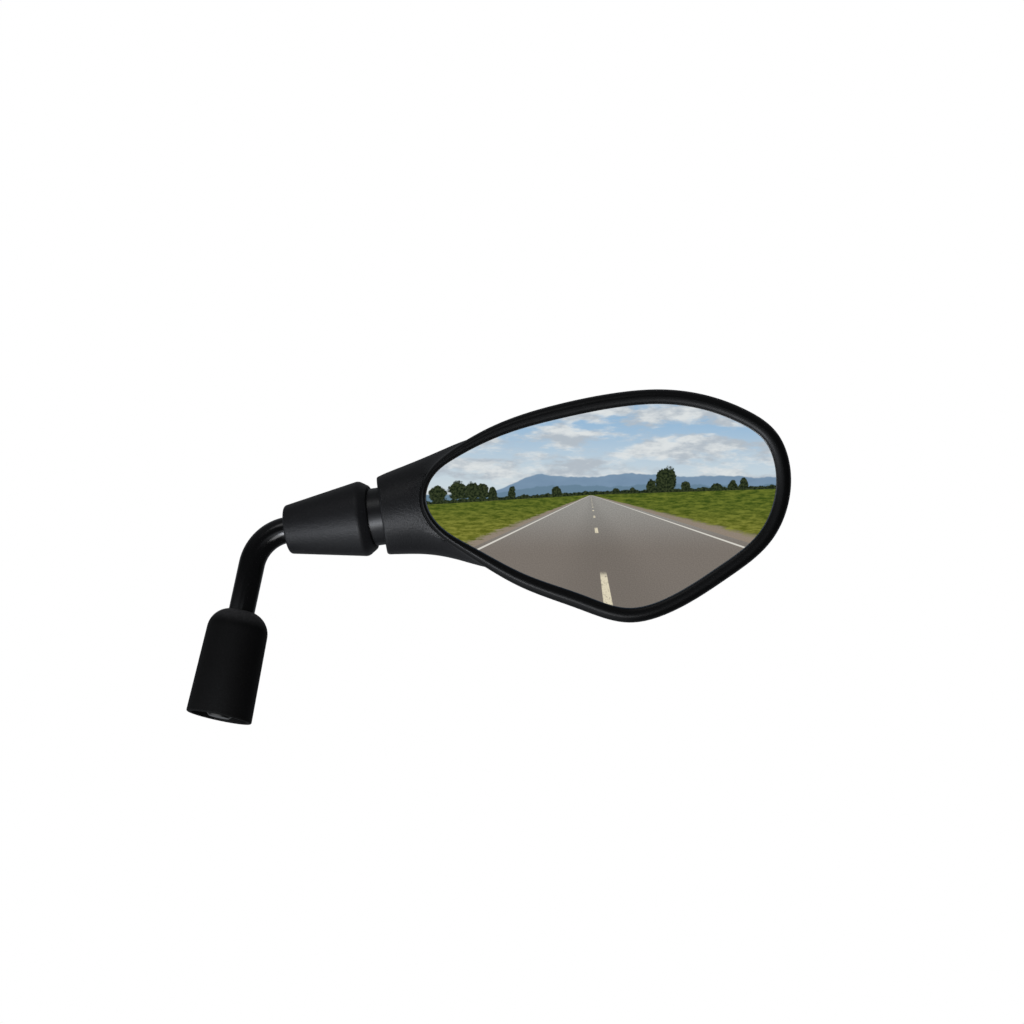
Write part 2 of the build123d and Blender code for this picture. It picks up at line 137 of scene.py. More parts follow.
class MirrorFinishes(bpy.types.PropertyGroup):
    """Colours of the visible finishes."""

    plastic_dark: tint("Grained plastic", "Darker tone of the plastic", (0.0050, 0.0052, 0.0062))
    plastic_light: tint("Grained plastic, light", "Lighter tone of the plastic", (0.0080, 0.0083, 0.0100))
    rim: tint("Rim plastic", "Colour of the rim round the glass", (0.0027, 0.0028, 0.0031))
    rim_light: tint("Rim plastic, light", "Lighter tone of the rim", (0.0043, 0.0044, 0.0048))
    rubber: tint("Boot rubber", "Colour of the boot", (0.0022, 0.0022, 0.0022))
    rubber_bloom: tint("Rubber bloom", "Paler film on the boot", (0.0042, 0.0042, 0.0043))
    # Painted top light: a pale colour laid on the upper part of the boot's shoulder to make it lighter
    rubber_top_light: tint("Rubber top light", "Painted top light on the boot's shoulder", (0.075, 0.075, 0.080))
    paint: tint("Stem paint", "Colour of the painted stem", (0.0010, 0.0010, 0.0010))
    paint_light: tint("Stem paint, light", "Lighter tone of the painted stem", (0.0018, 0.0018, 0.0019))
    steel: tint("Bright steel", "Colour of the unpainted thread and the joint's hardware", (0.42, 0.41, 0.39))
    silver: tint("Mirror silver", "Tint of the mirror coating", (0.90, 0.92, 0.92))


class MirrorStage(bpy.types.PropertyGroup):
    """Camera, floor, lamps and the road that the glass reflects."""

    camera_distance: length("Camera distance", "From the stem's plane to the camera", 2.5)
    camera_x: length("Camera side", "Sideways place of the camera", 0.1112)
    camera_z: length("Camera height", "Height of the camera", 0.07695)
    picture_width: length("Picture width", "Width of the view at the stem's plane", 0.38912)
    floor_drop: length("Floor drop", "How far the floor lies below the thread's end", 0.5)
    road_distance: length("Road distance", "How far behind the rider the road picture stands", 5.0)
    low_lamp: watts("Low lamp", "Power of the low front lamp", 3.5)
    under_lamp: watts("Under lamp", "Power of the lamp below", 1.6)
    high_lamp: watts("High lamp", "Power of the high lamp", 1.25)


# Mesh helpers


def start_piece(name):
    """Deselects everything and opens an empty mesh in edit mode."""
    bpy.ops.object.select_all(action="DESELECT")
    bpy.ops.mesh.primitive_plane_add(size=MM, enter_editmode=True)
    piece = bpy.context.object
    piece.name = piece.data.name = name
    bpy.ops.mesh.select_mode(type="VERT")
    bpy.ops.mesh.merge(type="CENTER")
    return piece


def shape(piece):
    """The mesh that is open in edit mode."""
    mesh = bmesh.from_edit_mesh(piece.data)
    mesh.verts.index_update()
    mesh.verts.ensure_lookup_table()
    return mesh


def weld():
    """Merges the vertices that share a place."""
    bpy.ops.mesh.select_all(action="SELECT")
    bpy.ops.mesh.remove_doubles(threshold=MERGE)


def close_piece(piece, body, slot, made, *nodes, sharp=35):
    """Cleans the mesh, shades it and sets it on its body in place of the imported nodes."""
    weld()
    bpy.ops.mesh.normals_make_consistent(inside=False)
    bpy.ops.object.mode_set(mode="OBJECT")
    bpy.ops.object.transform_apply(location=True, rotation=True, scale=True)
    bpy.ops.object.shade_smooth_by_angle(angle=math.radians(sharp))
    piece.data.materials.clear()
    piece.data.materials.append(made)
    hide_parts(*nodes)
    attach(piece, body)


def select_only(piece, kind, test):
    """Selects only the edges or the faces that pass the test."""
    bpy.ops.mesh.select_mode(type=kind)
    bpy.ops.mesh.select_all(action="DESELECT")
    mesh = shape(piece)
    for item in mesh.edges if kind == "EDGE" else mesh.faces:
        item.select_set(test(item))
    bmesh.update_edit_mesh(piece.data)


def spot(point, origin, direction):
    """Distance along an axis and radius from it."""
    along = (point - origin).dot(direction)
    return along, (point - origin - direction * along).length


def turned(piece, outline, origin, direction, steps):
    """Draws an outline of (distance, radius) beside an axis and spins it round."""
    side = direction.orthogonal().normalized()
    places = [origin + direction * along + side * radius for along, radius in outline]
    mesh = shape(piece)
    mesh.verts[0].co = places[0]
    bmesh.update_edit_mesh(piece.data)
    bpy.ops.mesh.select_all(action="SELECT")
    for here, there in zip(places, places[1:] + places[:1]):
        bpy.ops.mesh.extrude_vertices_move(TRANSFORM_OT_translate={"value": there - here})
    weld()
    bpy.ops.mesh.spin(steps=steps, angle=math.tau, center=origin, axis=direction)
    weld()


def round_ring(piece, origin, direction, along, radius, width, segments):
    """Bevels the ring of edges at a distance and radius."""
    def on_ring(vert):
        at, away = spot(vert.co, origin, direction)
        return abs(at - along) < NEAR and abs(away - radius) < NEAR
    select_only(piece, "EDGE", lambda edge: all(map(on_ring, edge.verts)))
    bpy.ops.mesh.bevel(offset=width, segments=segments, affect="EDGES")


def push(move):
    """Extrudes the selected face by a move."""
    bpy.ops.mesh.extrude_region_move(TRANSFORM_OT_translate={"value": move})


def scale(factor, centre):
    """Scales the selected face about a place."""
    bpy.ops.transform.resize(value=(factor, factor, factor), center_override=centre)


def skin(piece, loops):
    """Lays a ring through the first loop's places and extrudes it on through the others."""
    bpy.ops.object.mode_set(mode="OBJECT")
    bpy.ops.object.mode_set(mode="EDIT")
    bpy.ops.mesh.select_mode(type="EDGE")
    bpy.ops.mesh.primitive_circle_add(vertices=len(loops[0]), radius=MM)
    ring = [vert for vert in shape(piece).verts if vert.select]
    for i, places in enumerate(loops):
        if i:
            order = {vert.index: turn for turn, vert in enumerate(ring)}
            bpy.ops.mesh.extrude_edges_move()
            grown = {}
            for vert in shape(piece).verts:
                if vert.select:
                    root = next(edge.other_vert(vert) for edge in vert.link_edges if not edge.select)
                    grown[order[root.index]] = vert
            ring = [grown[turn] for turn in sorted(grown)]
        for vert, place in zip(ring, places):
            vert.co = place
        bmesh.update_edit_mesh(piece.data)


def closed_curve(points, per_span=10):
    """Places along a smooth closed curve through the points."""
    points = np.array(points, dtype=float)
    ahead, behind = np.roll(points, -1, 0), np.roll(points, 1, 0)
    span = np.linalg.norm(ahead - points, axis=1)
    before = np.roll(span, 1)
    count = len(points)
    matrix = np.zeros((count, count))
    for i in range(count):
        matrix[i, i - 1] = before[i]
        matrix[i, i] = 2 * (before[i] + span[i])
        matrix[i, (i + 1) % count] = span[i]
    slope = 6 * ((ahead - points) / span[:, None] - (points - behind) / before[:, None])
    bend = np.linalg.solve(matrix, slope)
    places = []
    for i in range(count):
        j = (i + 1) % count
        for step in range(per_span):
            b = step / per_span
            a = 1 - b
            curve = ((a**3 - a) * bend[i] + (b**3 - b) * bend[j]) * span[i] ** 2 / 6
            places.append(a * points[i] + b * points[j] + curve)
    return places


def rim_curve(distance_at):
    """Rim outline moved inwards by distance_at(x), in millimetres from the ball's centre."""
    moved = []
    for i, (x, z) in enumerate(RIM_POINTS):
        nxt, last = RIM_POINTS[(i + 1) % len(RIM_POINTS)], RIM_POINTS[i - 1]
        run = Vector((nxt[0] - last[0], nxt[1] - last[1])).normalized()
        inwards = distance_at(x)
        moved.append((x + run.y * inwards, z - run.x * inwards))
    return closed_curve(moved)


# Shader helpers


def feed(tree, socket, value):
    """Links a socket or sets a plain value."""
    if isinstance(value, bpy.types.NodeSocket):
        tree.links.new(value, socket)
    elif hasattr(value, "__len__") and len(value) == 3 and socket.type == "RGBA":
        socket.default_value = (*value, 1.0)
    else:
        socket.default_value = value


def put(tree, kind, inputs=None, **settings):
    """Adds a node, sets its options, and sets or links its inputs."""
    node = tree.nodes.new(kind)
    for name, value in settings.items():
        setattr(node, name, value)
    for name, value in (inputs or {}).items():
        feed(tree, node.inputs[name], value)
    return node


def calc(tree, operation, *values, clamp=False):
    """A Math node on values or sockets."""
    node = put(tree, "ShaderNodeMath", operation=operation, use_clamp=clamp)
    for socket, value in zip(node.inputs, values):
        feed(tree, socket, value)
    return node.outputs[0]


def ramp(tree, value, low, high, to_low=0.0, to_high=1.0):
    """Maps a value smoothly from one range to another, clamped."""
    inputs = {"Value": value, "From Min": low, "From Max": high, "To Min": to_low, "To Max": to_high}
    return put(tree, "ShaderNodeMapRange", inputs, interpolation_type="SMOOTHSTEP").outputs["Result"]


def blend_colour(tree, factor, first, second):
    """Mixes two colours or sockets by a factor."""
    return put(tree, "ShaderNodeMix", {0: factor, 6: first, 7: second}, data_type="RGBA").outputs[2]


def noise(tree, vector, scale, detail=2.0, roughness=0.5):
    """Noise value at a place."""
    inputs = {"Vector": vector, "Scale": scale, "Detail": detail, "Roughness": roughness}
    return put(tree, "ShaderNodeTexNoise", inputs).outputs["Fac"]


def object_place(tree):
    """Object coordinates."""
    return put(tree, "ShaderNodeTexCoord").outputs["Object"]


def stem_height(tree, place):
    """Height of a place along the stem."""
    node = put(tree, "ShaderNodeVectorMath", {0: place, 1: STEM_DIR}, operation="DOT_PRODUCT")
    return node.outputs["Value"]


def new_material(name):
    """A new material, its node tree and its shader."""
    made = bpy.data.materials.new(name)
    made.use_nodes = True
    return made, made.node_tree, made.node_tree.nodes["Principled BSDF"]


def cover(tree, factor, colour):
    """Lays a colour over a finish's own by a factor."""
    base = tree.nodes["Principled BSDF"].inputs["Base Color"]
    feed(tree, base, blend_colour(tree, factor, base.links[0].from_socket, colour))


def two_looks(tree, factor, first, second):
    """Mixes two shaders by a factor into the material's output."""
    both = put(tree, "ShaderNodeMixShader", {0: factor, 1: first.outputs[0], 2: second.outputs[0]})
    tree.links.new(both.outputs[0], tree.nodes["Material Output"].inputs["Surface"])


def shader_group(name, inputs, outputs):
    """A new shader group with float inputs (name, default) and float outputs."""
    tree = bpy.data.node_groups.new(name, "ShaderNodeTree")
    for label, default in inputs:
        socket = tree.interface.new_socket(label, in_out="INPUT", socket_type="NodeSocketFloat")
        socket.default_value = default
    for label in outputs:
        tree.interface.new_socket(label, in_out="OUTPUT", socket_type="NodeSocketFloat")
    return tree, tree.nodes.new("NodeGroupInput").outputs, tree.nodes.new("NodeGroupOutput").inputs


def moulded_grain():
    """Fine eroded grain of a moulded surface, with slow unevenness in tone and gloss."""
    name = "moulded grain"
    if name in bpy.data.node_groups:
        return bpy.data.node_groups[name]
    tree, given, out = shader_group(
        name, (("Grain Size", 0.0006), ("Patch Size", 0.03)), ("Height", "Gloss Change", "Tone"),
    )
    place = object_place(tree)
    fine = calc(tree, "DIVIDE", 1.0, given["Grain Size"])
    cells = {"Vector": place, "Scale": fine, "Smoothness": 0.6}
    pits = put(tree, "ShaderNodeTexVoronoi", cells, feature="SMOOTH_F1").outputs["Distance"]
    specks = noise(tree, place, calc(tree, "MULTIPLY", fine, 0.45), 3.0)
    patch = noise(tree, place, calc(tree, "DIVIDE", 1.0, given["Patch Size"]), 4.0, 0.55)
    feed(tree, out["Height"], calc(tree, "MULTIPLY_ADD", pits, -0.7, specks))
    feed(tree, out["Gloss Change"], calc(tree, "SUBTRACT", patch, 0.5))
    feed(tree, out["Tone"], calc(tree, "MULTIPLY_ADD", specks, 0.3, ramp(tree, patch, 0.3, 0.7, 0.0, 0.7)))
    return tree


def finish(name, dark, light, roughness, gloss_change=0.06, grain=0.0006, bump=0.3, level=0.5, metallic=0.0):
    """A moulded, painted or plated finish on the shared grain."""
    made, tree, shader = new_material(name)
    surface = put(tree, "ShaderNodeGroup", {"Grain Size": grain}, node_tree=moulded_grain()).outputs
    heights = {"Height": surface["Height"], "Strength": bump, "Distance": 0.0002}
    inputs = {
        "Base Color": blend_colour(tree, surface["Tone"], tuple(dark), tuple(light)),
        "Roughness": calc(tree, "MULTIPLY_ADD", surface["Gloss Change"], gloss_change, roughness, clamp=True),
        "Normal": put(tree, "ShaderNodeBump", heights).outputs["Normal"],
        "Specular IOR Level": level,
        "Metallic": metallic,
    }
    for socket, value in inputs.items():
        feed(tree, shader.inputs[socket], value)
    return made


def give(made, *names):
    """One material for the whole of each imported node."""
    for name in names:
        mesh = frame["nodes"][name].data
        mesh.materials.clear()
        mesh.materials.append(made)


# Pieces


def given(context):
    """The sizes and the finishes."""
    return context.scene.mirror_sizes, context.scene.mirror_finishes


class MIRROR_OT_stem(bpy.types.Operator):
    """Models the bent stem with its cut thread"""

    bl_idname = "mirror_part.stem"
    bl_label = "Stem and lock nut"

    def execute(self, context):
        size, tone = given(context)
        piece = start_piece("threaded_stem")
        bpy.ops.mesh.delete(type="VERT")
        upright = STEM_DIR.to_track_quat("Z", "Y").to_euler()
        tip = STEM_DIR * -size.end_chamfer
        tip_radius = size.stem_radius - size.end_chamfer
        bpy.ops.mesh.primitive_circle_add(
            vertices=STEM_SIDES, radius=tip_radius, fill_type="NGON", location=tip, rotation=upright,
        )
        push(-tip)
        scale(size.stem_radius / tip_radius, ORIGIN)
        push(STEM_DIR * size.thread_run)

        # Cut the thread: rings along the end, then a groove that climbs with the angle
        top, pitch = size.thread_run, size.thread_pitch
        steep, crest = 1.3, 0.15

        def height(vert):
            return spot(vert.co, ORIGIN, STEM_DIR)[0]

        def on_side(edge):
            low, high = sorted(map(height, edge.verts))
            return abs(low) < NEAR and abs(high - top) < NEAR
        select_only(piece, "EDGE", on_side)
        bpy.ops.mesh.subdivide(number_cuts=round(top / pitch * RINGS_PER_TURN) - 1)
        across = STEM_DIR.orthogonal().normalized()
        beside = STEM_DIR.cross(across)
        for vert in shape(piece).verts:
            along, away = spot(vert.co, ORIGIN, STEM_DIR)
            if along < NEAR or along > top - NEAR:
                continue
            turn = math.atan2(vert.co.dot(beside), vert.co.dot(across)) / math.tau
            phase = abs((along / pitch - turn) % 1 * 2 - 1)
            groove = min(max(phase * steep - crest, 0.0), 1.0)
            fade = min(1.0, along / pitch, (top - along) / pitch)
            centre = STEM_DIR * along
            vert.co = centre + (vert.co - centre) * ((away - size.thread_depth * groove * fade) / away)
        bmesh.update_edit_mesh(piece.data)

        # Rod, bend and arm, then the stud inside the joint with its chamfered end
        angle = STEM_DIR.angle(ARM_DIR)
        reach = size.stem_bend * math.tan(angle / 2)
        inwards = (ARM_DIR - STEM_DIR * ARM_DIR.dot(STEM_DIR)).normalized()
        bend_start = STEM_DIR * (size.stem_rise - reach)
        select_only(piece, "FACE", lambda face: all(abs(height(vert) - top) < NEAR for vert in face.verts))
        push(bend_start - STEM_DIR * top)
        hub = bend_start + inwards * size.stem_bend
        bpy.ops.mesh.spin(steps=BEND_STEPS, angle=-angle, center=hub, axis=STEM_DIR.cross(ARM_DIR))
        push(ARM_DIR * (size.arm_length - reach - size.shoulder_back))
        shoulder = BALL - ARM_DIR * size.shoulder_back
        push((0, 0, 0))
        scale(size.stud_radius / size.stem_radius, shoulder)
        _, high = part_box("stem_rod")
        stud_short, stud_end, stud_taper = 0.3, 0.2, 0.8
        stud = (high.x - shoulder.x) / ARM_DIR.x - size.stud_radius * stud_short
        push(ARM_DIR * stud)
        push(ARM_DIR * size.stud_radius * stud_end)
        scale(stud_taper, shoulder + ARM_DIR * stud)

        # Gloss paint that stops above the thread, which is left as dull plated steel
        made = finish(
            "stem finish", tone.paint, tone.paint_light, roughness=0.18, grain=0.003, bump=0.03, level=0.6,
        )
        tree = made.node_tree
        place = object_place(tree)
        bare = ramp(tree, stem_height(tree, place), top, top + MM, 1.0, 0.0)
        stained, clean = [tuple(c * share for c in tone.steel) for share in (0.12, 0.3)]
        cover(tree, bare, blend_colour(tree, noise(tree, place, 900.0, 3.0), stained, clean))
        feed(tree, tree.nodes["Principled BSDF"].inputs["Metallic"], bare)
        close_piece(piece, "stem", "stem_paint", made, "stem_rod")
        give(finish(
            "zinc finish", (0.012, 0.012, 0.013), (0.022, 0.022, 0.024),
            roughness=0.38, gloss_change=0.12, grain=0.0008, bump=0.15,
        ), "lock_nut")
        return {"FINISHED"}


def paint_shoulder_light(made, start, full, top_light):
    """Paints pale, speckled top light into a finish's colour, from a height along the stem upwards."""
    tree = made.node_tree
    place = object_place(tree)
    lies = ramp(tree, stem_height(tree, place), start, full)
    specks = ramp(tree, noise(tree, place, 700.0, 5.0, 0.7), 0.3, 0.7, 0.55, 1.0)
    cover(tree, calc(tree, "MULTIPLY", lies, specks), tuple(top_light))


class MIRROR_OT_boot(bpy.types.Operator):
    """Models the rubber boot over the lock nut"""

    bl_idname = "mirror_part.boot"
    bl_label = "Rubber boot"

    def execute(self, context):
        size, tone = given(context)
        low = -size.boot_overhang
        high = low + size.boot_length
        bore = size.stem_radius + FIT_GAP
        lip_round, bore_round, corner_round, lit_share = 0.0006, 0.0003, 0.002, 0.75
        piece = start_piece("rubber_boot")
        lean = math.atan2(size.boot_mouth - size.boot_shoulder, size.boot_length)
        middle = size.boot_shoulder + size.boot_round * (math.tan(lean) - 1 / math.cos(lean))
        stop = math.acos((bore - middle) / size.boot_round)
        dome = [
            (high - size.boot_round * (1 - math.sin(turn)), middle + size.boot_round * math.cos(turn))
            for turn in np.linspace(lean, stop, 16)
        ]
        inside = high - size.boot_top
        outline = (
            (low, size.boot_mouth), *dome, (inside, bore), (inside, size.boot_shoulder - size.boot_wall),
            (low, size.boot_mouth - size.boot_wall),
        )
        turned(piece, outline, ORIGIN, STEM_DIR, size.round_steps)
        bevel = partial(round_ring, piece, ORIGIN, STEM_DIR)
        bevel(low, size.boot_mouth, lip_round, 4)
        bevel(low, size.boot_mouth - size.boot_wall, lip_round, 4)
        bevel(dome[-1][0], bore, bore_round, 3)
        bevel(inside, size.boot_shoulder - size.boot_wall, corner_round, 4)
        made = finish(
            "boot finish", tone.rubber, tone.rubber_bloom,
            roughness=0.6, gloss_change=0.12, grain=0.0004, bump=0.25, level=0.16,
        )
        # Painted top light on the boot's shoulder, from part way down its rounding up to the top
        paint_shoulder_light(made, high - size.boot_round * lit_share, high, tone.rubber_top_light)
        close_piece(piece, "boot", "boot_rubber", made, "stem_boot")
        return {"FINISHED"}


class MIRROR_OT_sleeve(bpy.types.Operator):
    """Models the tapered sleeve and finishes the collar of the ball"""

    bl_idname = "mirror_part.sleeve"
    bl_label = "Sleeve and collar"

    def execute(self, context):
        size, tone = given(context)
        front, back = -size.sleeve_front, -size.sleeve_front - size.sleeve_length
        bore, collar, step = size.stem_radius + FIT_GAP, size.collar_radius + FIT_GAP, -size.collar_back
        nose, narrow = front - size.sleeve_nose, size.sleeve_large - size.sleeve_nose_drop
        nose_round, front_round, back_round = 0.001, 0.00033, 0.0012
        piece = start_piece("tapered_sleeve")
        outline = (
            (front, collar), (front, narrow), (nose, size.sleeve_large), (back, size.sleeve_small),
            (back, bore), (step, bore), (step, collar),
        )
        turned(piece, outline, BALL, ARM_DIR, size.round_steps)
        bevel = partial(round_ring, piece, BALL, ARM_DIR)
        bevel(nose, size.sleeve_large, nose_round, 6)
        bevel(front, narrow, front_round, 4)
        bevel(back, size.sleeve_small, back_round, 6)
        close_piece(piece, "stem", "grained_plastic", grained_plastic(tone), "joint_sleeve")
        give(finish(
            "collar finish", tone.plastic_dark, tone.plastic_light,
            roughness=0.36, gloss_change=0.04, grain=0.002, bump=0.05,
        ), "ball_stub")
        return {"FINISHED"}


def grained_plastic(tone):
    """The grained plastic that the housing and the sleeve share."""
    name = "plastic finish"
    return bpy.data.materials.get(name) or finish(
        name, tone.plastic_dark, tone.plastic_light,
        roughness=0.46, gloss_change=0.04, grain=0.0005, bump=0.45, level=0.43,
    )


# Areas of the housing that are evened: two corners of a box, and whether its back is meant or its front
NECK_FRONT = (BALL + Vector((-5, -22, -20)) * MM, BALL + Vector((26, 3, 26)) * MM, False)
BOWL_BACK = (BALL + Vector((28, 0, -30)) * MM, BALL + Vector((108, 60, 34)) * MM, True)
SEAT_RADIUS = 12.8 * MM
# Lean of a face at the back, the change of lean and the reaches over which evening fades, likeness of normals
BACK_LEAN, LEAN_FADE, BORDER_REACHES, ALIKE = 0.4, 0.2, 3, 0.5


def in_area(face, middle, area):
    """Whether a face belongs to the front or the back of an area, outside the ball's seat."""
    low, high, back = area
    if (face.normal.y > BACK_LEAN) != back or spot(middle, BALL, ARM_DIR)[1] < SEAT_RADIUS:
        return False
    return all(least < at < most for least, at, most in zip(low, middle, high))


def cut_area(piece, area, step):
    """Cuts an area of the housing into small facets, with planes across both ways."""
    bpy.ops.object.mode_set(mode="EDIT")
    for axis, across in ((0, (1, 0, 0)), (2, (0, 0, 1))):
        for place in np.arange(area[0][axis] + step, area[1][axis], step):
            select_only(piece, "FACE", lambda face: in_area(face, face.calc_center_median(), area))
            bpy.ops.mesh.bisect(plane_co=Vector(across) * place, plane_no=across, threshold=MERGE)
    bpy.ops.object.mode_set(mode="OBJECT")


def even_area(mesh, normals, area, reach):
    """Evens an area of the housing and its normals over a short reach, and fades out at its borders."""
    faces = [face for face in mesh.polygons if in_area(face, face.center, area)]
    corners = np.array([corner for face in faces for corner in face.loop_indices])
    share = np.array([face.area / face.loop_total for face in faces for corner in face.loop_indices])
    owners = np.array([mesh.loops[corner].vertex_index for corner in corners])
    verts, order = np.unique(owners, return_inverse=True)
    places = np.array([mesh.vertices[vert].co for vert in verts])
    weight, lean = np.zeros(len(verts)), np.zeros((len(verts), 3))
    np.add.at(weight, order, share)
    np.add.at(lean, order, normals[corners] * share[:, None])
    lean /= np.linalg.norm(lean, axis=1)[:, None]
    even, shift = np.empty_like(lean), np.empty_like(lean)
    for i, (place, way) in enumerate(zip(places, lean)):
        apart = places - place
        pull = weight * np.exp(-(apart**2).sum(1) / (2 * reach**2))
        pull *= (lean @ way > ALIKE) & (np.abs(apart @ way) < reach)
        even[i] = pull @ lean
        shift[i] = way * (pull @ apart @ way / pull.sum())
    border = np.minimum(places - np.array(area[0]), np.array(area[1]) - places)[:, ::2].min(1)
    turned_away = np.abs(lean[:, 1] - BACK_LEAN) / LEAN_FADE
    fade = np.clip(np.minimum(border / (BORDER_REACHES * reach), turned_away), 0, 1)[:, None]
    even = lean * (1 - fade) + even / np.linalg.norm(even, axis=1)[:, None] * fade
    normals[corners] = even[order]
    for vert, place in zip(verts, places + shift * fade):
        mesh.vertices[vert].co = place


def even_housing(mesh, reaches):
    """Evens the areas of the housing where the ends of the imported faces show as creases."""
    normals = np.empty(len(mesh.loops) * 3)
    mesh.attributes["moulded_normal"].data.foreach_get("vector", normals)
    normals = normals.reshape(-1, 3)
    normals /= np.linalg.norm(normals, axis=1)[:, None]
    for area, reach in reaches:
        even_area(mesh, normals, area, reach)
    mesh.normals_split_custom_set(normals)
    mesh.attributes.remove(mesh.attributes["moulded_normal"])


class MIRROR_OT_housing(bpy.types.Operator):
    """Refines the moulded housing, whose neck flows into the shell"""

    bl_idname = "mirror_part.housing"
    bl_label = "Housing"

    def execute(self, context):
        size, tone = given(context)
        bpy.ops.object.select_all(action="DESELECT")
        mesh = frame["nodes"]["housing_shell"].data.copy()
        mesh.name = "moulded_housing"
        piece = bpy.data.objects.new("moulded_housing", mesh)
        context.scene.collection.objects.link(piece)
        context.view_layer.objects.active = piece
        kept = mesh.attributes.new("moulded_normal", "FLOAT_VECTOR", "CORNER")
        kept.data.foreach_set("vector", [value for corner in mesh.corner_normals for value in corner.vector])
        cut_area(piece, NECK_FRONT, size.neck_facet)
        cut_area(piece, BOWL_BACK, size.back_facet)
        even_housing(mesh, ((NECK_FRONT, size.neck_reach), (BOWL_BACK, size.back_reach)))
        mesh.materials.clear()
        mesh.materials.append(grained_plastic(tone))
        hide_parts("housing_shell")
        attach(piece, "head")
        return {"FINISHED"}


def rim_width_at(size):
    """Rim width in millimetres by distance from the ball: narrow at the neck and full beyond the fade."""
    full, narrow, fade = size.rim_width / MM, size.rim_width_neck / MM, 60.0

    def width(x):
        near = max(0.0, 1 - (x - RIM_POINTS[0][0]) / fade)
        return full - (full - narrow) * near**2
    return width


HOUSING_FRONT = -15.0
GLASS_MIDDLE = (79.0, 4.0)


def glass_depth(size, x, z, gap=0.0):
    """Depth of the glass's front face in millimetres from the ball's centre."""
    radius = size.glass_radius / MM + gap
    front = HOUSING_FRONT - size.rim_height / MM + size.glass_setback / MM
    centre = front + size.glass_radius / MM
    return centre - math.sqrt(radius**2 - (x - GLASS_MIDDLE[0]) ** 2 - (z - GLASS_MIDDLE[1]) ** 2)


def stand(curve, depth):
    """Places of a curve at a depth, or at the depth that a function gives."""
    at = depth if callable(depth) else lambda x, z: depth
    return [BALL + Vector((x, at(x, z), z)) * MM for x, z in curve]


class MIRROR_OT_rim(bpy.types.Operator):
    """Models the crowned rim that frames the glass"""

    bl_idname = "mirror_part.rim"
    bl_label = "Rim"

    def execute(self, context):
        size, tone = given(context)
        width = rim_width_at(size)
        height, drop, lip = size.rim_height / MM, size.rim_drop / MM, size.glass_lip / MM
        side, peak, land, gap = 0.35, 0.5, 0.03, 0.05
        last = math.radians(84)
        sections = [(0.0, HOUSING_FRONT)]
        for turn in np.radians(range(0, 91, 9)):
            rise = side + (1 - side) * math.sin(turn)
            sections.append((peak * (1 - math.cos(turn)), HOUSING_FRONT - height * rise))
        for turn in np.radians(range(0, 85, 12)):
            share = peak + land + (1 - peak - land) * math.sin(turn) / math.sin(last)
            fall = drop * (1 - math.cos(turn)) / (1 - math.cos(last))
            sections.append((share, HOUSING_FRONT - height + fall))
        loops = [stand(rim_curve(lambda x: width(x) * share), depth) for share, depth in sections]
        on_glass, inner = partial(glass_depth, size, gap=gap), rim_curve(lambda x: width(x) - lip - gap)
        loops += [stand(rim_curve(width), on_glass), stand(inner, on_glass), stand(inner, HOUSING_FRONT)]
        piece = start_piece("glass_rim")
        bpy.ops.mesh.delete(type="VERT")
        skin(piece, loops + loops[:1])
        made = finish(
            "rim finish", tone.rim, tone.rim_light, roughness=0.38, grain=0.0011, bump=0.03, level=0.26,
        )
        close_piece(piece, "head", "rim_plastic", made, "bezel_rim", sharp=40)
        return {"FINISHED"}


class MIRROR_OT_glass(bpy.types.Operator):
    """Models the convex mirror glass"""

    bl_idname = "mirror_part.glass"
    bl_label = "Mirror glass"

    def execute(self, context):
        size, tone = given(context)
        width, lip, wall = rim_width_at(size), size.glass_lip / MM, size.glass_wall / MM
        edge = rim_curve(lambda x: width(x) - lip)
        middle = np.array(GLASS_MIDDLE)
        front, chamfer = partial(glass_depth, size), 0.25

        def rear(x, z):
            return front(x, z) + wall

        def ring(share, depth):
            return stand([middle + (place - middle) * share for place in edge], depth)
        shares = [*(step / 12 for step in range(12)), 0.95, 0.975, 0.99]
        loops = [ring(share, front) for share in (*shares, 0.997)]
        loops += [stand(edge, lambda x, z: front(x, z) + chamfer), stand(edge, rear)]
        loops += [ring(share, rear) for share in reversed(shares)]
        piece = start_piece("convex_glass")
        bpy.ops.mesh.delete(type="VERT")
        skin(piece, loops)
        made, tree, shader = new_material("mirror finish")
        film = ramp(tree, noise(tree, object_place(tree), 35.0, 5.0, 0.6), 0.35, 0.75)
        silver, dim = tuple(tone.silver), tuple(c * 0.985 for c in tone.silver)
        feed(tree, shader.inputs["Base Color"], blend_colour(tree, film, silver, dim))
        feed(tree, shader.inputs["Roughness"], calc(tree, "MULTIPLY", film, 0.003))
        feed(tree, shader.inputs["Metallic"], 1.0)
        close_piece(piece, "head", "mirror", made, "mirror_glass")

        # The front face takes the sphere's own normals, so that the reflection stays straight
        mesh, facing = piece.data, -0.99
        x, z = GLASS_MIDDLE
        centre = BALL + Vector((x, front(x, z) + size.glass_radius / MM, z)) * MM
        normals = [corner.vector.copy() for corner in mesh.corner_normals]
        for face in mesh.polygons:
            if face.normal.y < facing:
                for corner in face.loop_indices:
                    place = mesh.vertices[mesh.loops[corner].vertex_index].co
                    normals[corner] = (place - centre).normalized()
        exact = mesh.attributes.new("custom_normal", "FLOAT_VECTOR", "CORNER")
        exact.data.foreach_set("vector", [value for normal in normals for value in normal])
        return {"FINISHED"}


